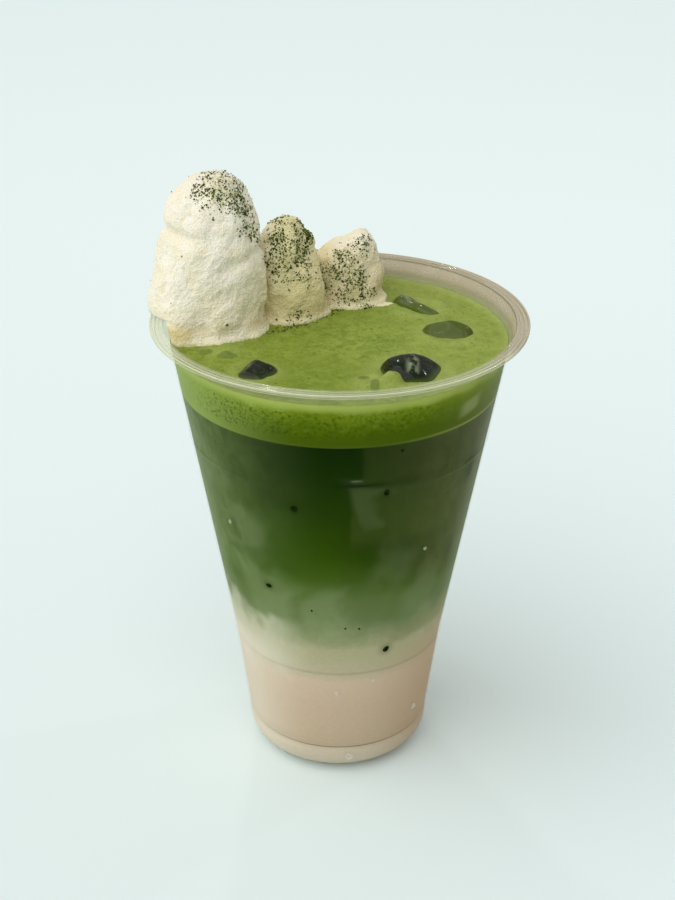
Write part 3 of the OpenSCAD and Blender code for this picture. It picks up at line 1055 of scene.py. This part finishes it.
GRAIN_FACES = [(0, 1, 4), (1, 2, 4), (2, 3, 4), (3, 0, 4), (1, 0, 5), (2, 1, 5), (3, 2, 5), (0, 3, 5)]


def grain_shapes(count, random):
    """Irregular little octahedra, as corner offsets of length about 1."""
    base = np.array([(1, 0, 0), (0, 1, 0), (-1, 0, 0), (0, -1, 0), (0, 0, 1), (0, 0, -1)], float)
    return base[None] * random.uniform(0.55, 1.25, (count, 6, 1)) + random.normal(0, 0.12, (count, 6, 3))


def scatter_grains(name, places, normals, sizes, material, random):
    """One mesh of many grains that lie on a surface."""
    count = len(places)
    corners = grain_shapes(count, random)
    corners[:, :, 2] *= 0.6
    side = np.cross(normals, random.normal(size=(count, 3)))
    side /= np.linalg.norm(side, axis=1)[:, None]
    other = np.cross(normals, side)
    turned = corners @ np.stack([side, other, normals], axis=1)
    raised = places + normals * (0.25 * sizes)[:, None]
    points = (raised[:, None] + turned * sizes[:, None, None]).reshape(-1, 3)
    faces = (np.array(GRAIN_FACES)[None] + 6 * np.arange(count)[:, None, None]).reshape(-1, 3)
    return new_piece(name, points, faces, [material], "powder", smooth=False)


# The chance of a grain at a point with full powder, and at a clean one
GRAIN_CHANCE, STRAY_CHANCE = 0.8075, 0.0025


def make_powder(dollops):
    random = np.random.default_rng(77)
    places, normals = [], []
    for piece in dollops:
        points, across = points_of(piece)
        dust = np.zeros(len(points), np.float32)
        piece.data.attributes["dust"].data.foreach_get("value", dust)
        clumps = smooth_step(rough_noise(points, 1.7, 350, octaves=3), -0.95, 0.5)
        chance = dust**0.8 * clumps * GRAIN_CHANCE + STRAY_CHANCE
        chosen = random.random(len(points)) < chance
        places.append(points[chosen])
        normals.append(across[chosen])
    places, normals = np.concatenate(places), np.concatenate(normals)
    shift = random.normal(0, 0.12, places.shape)
    sizes = np.clip(random.lognormal(math.log(0.22), 0.34, len(places)), 0.11, 0.42)
    scatter_grains("powder_on_cream", places + shift, normals, sizes, powder_look(), random)


# The line of powder along the cream's foot, as (share of its length, x, y)
TRAIL = [(0, -20, 0.5), (0.35, -12, 6.0), (0.7, -6, 12.5), (1, 0, 19.0)]
TRAIL_GRAINS = 260


def make_powder_on_foam():
    random = np.random.default_rng(91)
    count = TRAIL_GRAINS
    along = random.random(count)
    shares_along, xs, ys = np.array(TRAIL).T
    x = np.interp(along, shares_along, xs) + random.normal(0, 1.3, count)
    y = np.interp(along, shares_along, ys) + random.normal(0, 0.9, count)
    places = np.column_stack([x, y, foam_top_height(x, y)])
    normals = np.tile([0.0, 0.0, 1.0], (count, 1))
    sizes = np.clip(random.lognormal(math.log(0.21), 0.35, count), 0.1, 0.4)
    scatter_grains("powder_on_foam", places, normals, sizes, bpy.data.materials["matcha_powder"], random)


# ---------------- clumps, droplets

# How much the wall's outward direction dips, as it leans out towards the rim
WALL_LEAN = -0.177

# Dark clumps of matcha against the wall, as (angle, height, half width, half height)
CLUMPS = [
    (-16.9, 90.9, 1.15, 1.1),
    (17.6, 95.9, 0.75, 1.05),
    (-32.9, 63.5, 1.1, 0.75),
    (25.1, 43.3, 1.0, 1.1),
    (21.9, 108.2, 0.6, 0.6),
    (-12.4, 58.1, 0.38, 0.38),
    (3.3, 52.4, 0.32, 0.3),
    (10.0, 52.1, 0.38, 0.34),
]

# Drops of water on the outside of the wall, as (angle, height, radius)
DROPS = [
    (-0.7, 29.8, 0.7), (19.2, 33.2, 0.55), (52.1, 17.5, 0.9), (7.3, 6.8, 1.1),
    (38.4, 74.8, 0.5), (-50.1, 79.9, 0.5),
]


def pebble(half_sizes, seed, angle, at, rough):
    """An uneven pebble whose first two half sizes lie in the wall and whose third stands out of it."""
    a = math.radians(angle)
    outward = Vector((math.sin(a), -math.cos(a), WALL_LEAN))
    points, faces = lathe([(math.sin(t), -math.cos(t)) for t in np.linspace(0, math.pi, 12)], 18)
    uneven = 1 + rough * value_noise(points + 9 * seed, 0.8, seed)
    points = points * uneven[:, None] * np.array(half_sizes)
    basis = np.array(outward.to_track_quat("Z", "Y").to_matrix())
    return points @ basis.T + np.array(at), faces


def joined(parts):
    """Several (points, faces) as one."""
    points, faces, start = [], [], 0
    for part_points, part_faces in parts:
        points.append(part_points)
        faces += [[start + i for i in f] for f in part_faces]
        start += len(part_points)
    return np.vstack(points), faces


def clump_look():
    look = Look("matcha_clump")
    look.colour = look.mix(look.rise(look.noise(0.6), 0.4, 0.7), shade(12, 24, 3), shade(26, 42, 8))
    return look.painted(0.7, look.bump(look.noise(0.4), 0.1), Specular_IOR_Level=0.0)


def make_clumps():
    parts = [
        pebble((wide, high, 0.42), 500 + k, angle, on_wall(angle, z, -0.55), 0.22)
        for k, (angle, z, wide, high) in enumerate(CLUMPS)
    ]
    new_piece("matcha_clumps", *joined(parts), [clump_look()], "matcha")


def drop_look():
    look = Look("water_drop")
    clear = look.add("ShaderNodeBsdfTransparent").outputs[0]
    body = look.surface(shade(235, 232, 222), 0.06, Specular_IOR_Level=0.8)
    amount = look.plus(0.10, look.times(look.noise(0.8), 0.1), look.times(look.edge(2.0), 0.4))
    return look.done(look.blend(amount, clear, body))


def make_drops():
    parts = [
        pebble((r, r * 1.15, r * 0.55), 600 + k, angle, on_wall(angle, z, 0.02), 0.08)
        for k, (angle, z, r) in enumerate(DROPS)
    ]
    new_piece("water_drops", *joined(parts), [drop_look()], "cup")


# ---------------- floor, light and camera

# These are in metres, and the camera's angles are in radians
FLOOR_HALF, FLOOR_ROWS = 4.0, 9
LAMP_AIM = (0, 0, 0.09)
LAMP_COLOUR = (1, 1, 0.97)
WARM_WHITE = (1.0, 0.985, 0.95)
ROOM_POWER, KEY_POWER = 0.52, 1.75
KEY_FROM, KEY_SOFTNESS = (-0.50, -0.43, 0.75), 85
LENS = 68.64
CAMERA_AWAY, CAMERA_PITCH, CAMERA_ROLL = 0.46, 0.4663, 0.0047
CAMERA_SIDE, AIM_HEIGHT = -0.00044, 0.0889


def make_floor():
    look = Look("pale_floor")
    plain = (0.80, 0.915, 0.93, 1)
    uneven = look.rise(look.noise(90, detail=2), 0.3, 0.7, 0.0, 0.3)
    colour = look.mix(uneven, plain, (0.795, 0.91, 0.925, 1))
    material = look.done(look.surface(colour, 0.9, Specular_IOR_Level=0.0))
    line = np.linspace(-FLOOR_HALF, FLOOR_HALF, FLOOR_ROWS)
    x, y = np.meshgrid(line, line)
    points = np.column_stack([x.ravel(), y.ravel(), np.zeros(x.size)])
    mesh = bpy.data.meshes.new("floor")
    mesh.from_pydata(points.tolist(), [], grid_faces(FLOOR_ROWS, FLOOR_ROWS).tolist())
    mesh.materials.append(material)
    in_scene("floor", mesh)


def add_area(name, place, size, power, colour):
    light = bpy.data.lights.new(name, "AREA")
    light.shape = "RECTANGLE"
    light.size, light.size_y = size
    light.energy = power
    light.color = colour
    lamp = in_scene(name, light)
    lamp.location = place
    lamp.rotation_euler = (Vector(LAMP_AIM) - Vector(place)).to_track_quat("-Z", "Y").to_euler()


def make_light():
    """Soft studio light: an even pale room, a very soft key from the upper left, two small lamps for glints."""
    world = bpy.data.worlds.new("studio")
    world.use_nodes = True
    tree = world.node_tree
    room = tree.nodes["Background"]
    room.inputs["Color"].default_value = (*WARM_WHITE, 1)
    room.inputs["Strength"].default_value = ROOM_POWER
    backdrop = tree.nodes.new("ShaderNodeBackground")
    backdrop.inputs["Color"].default_value = shade(226, 238, 236)
    ray = tree.nodes.new("ShaderNodeLightPath")
    either = tree.nodes.new("ShaderNodeMixShader")
    tree.links.new(ray.outputs["Is Camera Ray"], either.inputs[0])
    tree.links.new(room.outputs[0], either.inputs[1])
    tree.links.new(backdrop.outputs[0], either.inputs[2])
    tree.links.new(either.outputs[0], tree.nodes["World Output"].inputs["Surface"])
    bpy.context.scene.world = world

    sun = bpy.data.lights.new("key", "SUN")
    sun.energy = KEY_POWER
    sun.angle = math.radians(KEY_SOFTNESS)
    sun.color = WARM_WHITE
    key = in_scene("key", sun)
    key.rotation_euler = Vector(KEY_FROM).to_track_quat("Z", "Y").to_euler()
    add_area("glint", (-0.12, 0.55, 0.75), (0.035, 0.05), 0.35, LAMP_COLOUR)
    add_area("side_glint", (0.5, 0.3, 0.6), (0.03, 0.03), 0.2, LAMP_COLOUR)


def make_camera():
    data = bpy.data.cameras.new("camera")
    data.sensor_width = 36
    data.lens = LENS
    data.clip_start, data.clip_end = 0.02, 30
    camera = in_scene("camera", data)
    back, up = CAMERA_AWAY * math.cos(CAMERA_PITCH), CAMERA_AWAY * math.sin(CAMERA_PITCH)
    camera.location = (CAMERA_SIDE, -back, AIM_HEIGHT + up)
    look_down = Euler((math.pi / 2 - CAMERA_PITCH, 0, 0)).to_matrix()
    camera.rotation_euler = (look_down @ Matrix.Rotation(CAMERA_ROLL, 3, "Z")).to_euler()
    bpy.context.scene.camera = camera


def main():
    make_cup()
    make_liquids()
    make_foam()
    make_ice()
    dollops = make_cream()
    make_tongue()
    make_powder(dollops)
    make_powder_on_foam()
    make_clumps()
    make_drops()
    make_floor()
    make_light()
    make_camera()
    bpy.context.scene.view_settings.view_transform = "Standard"


main()
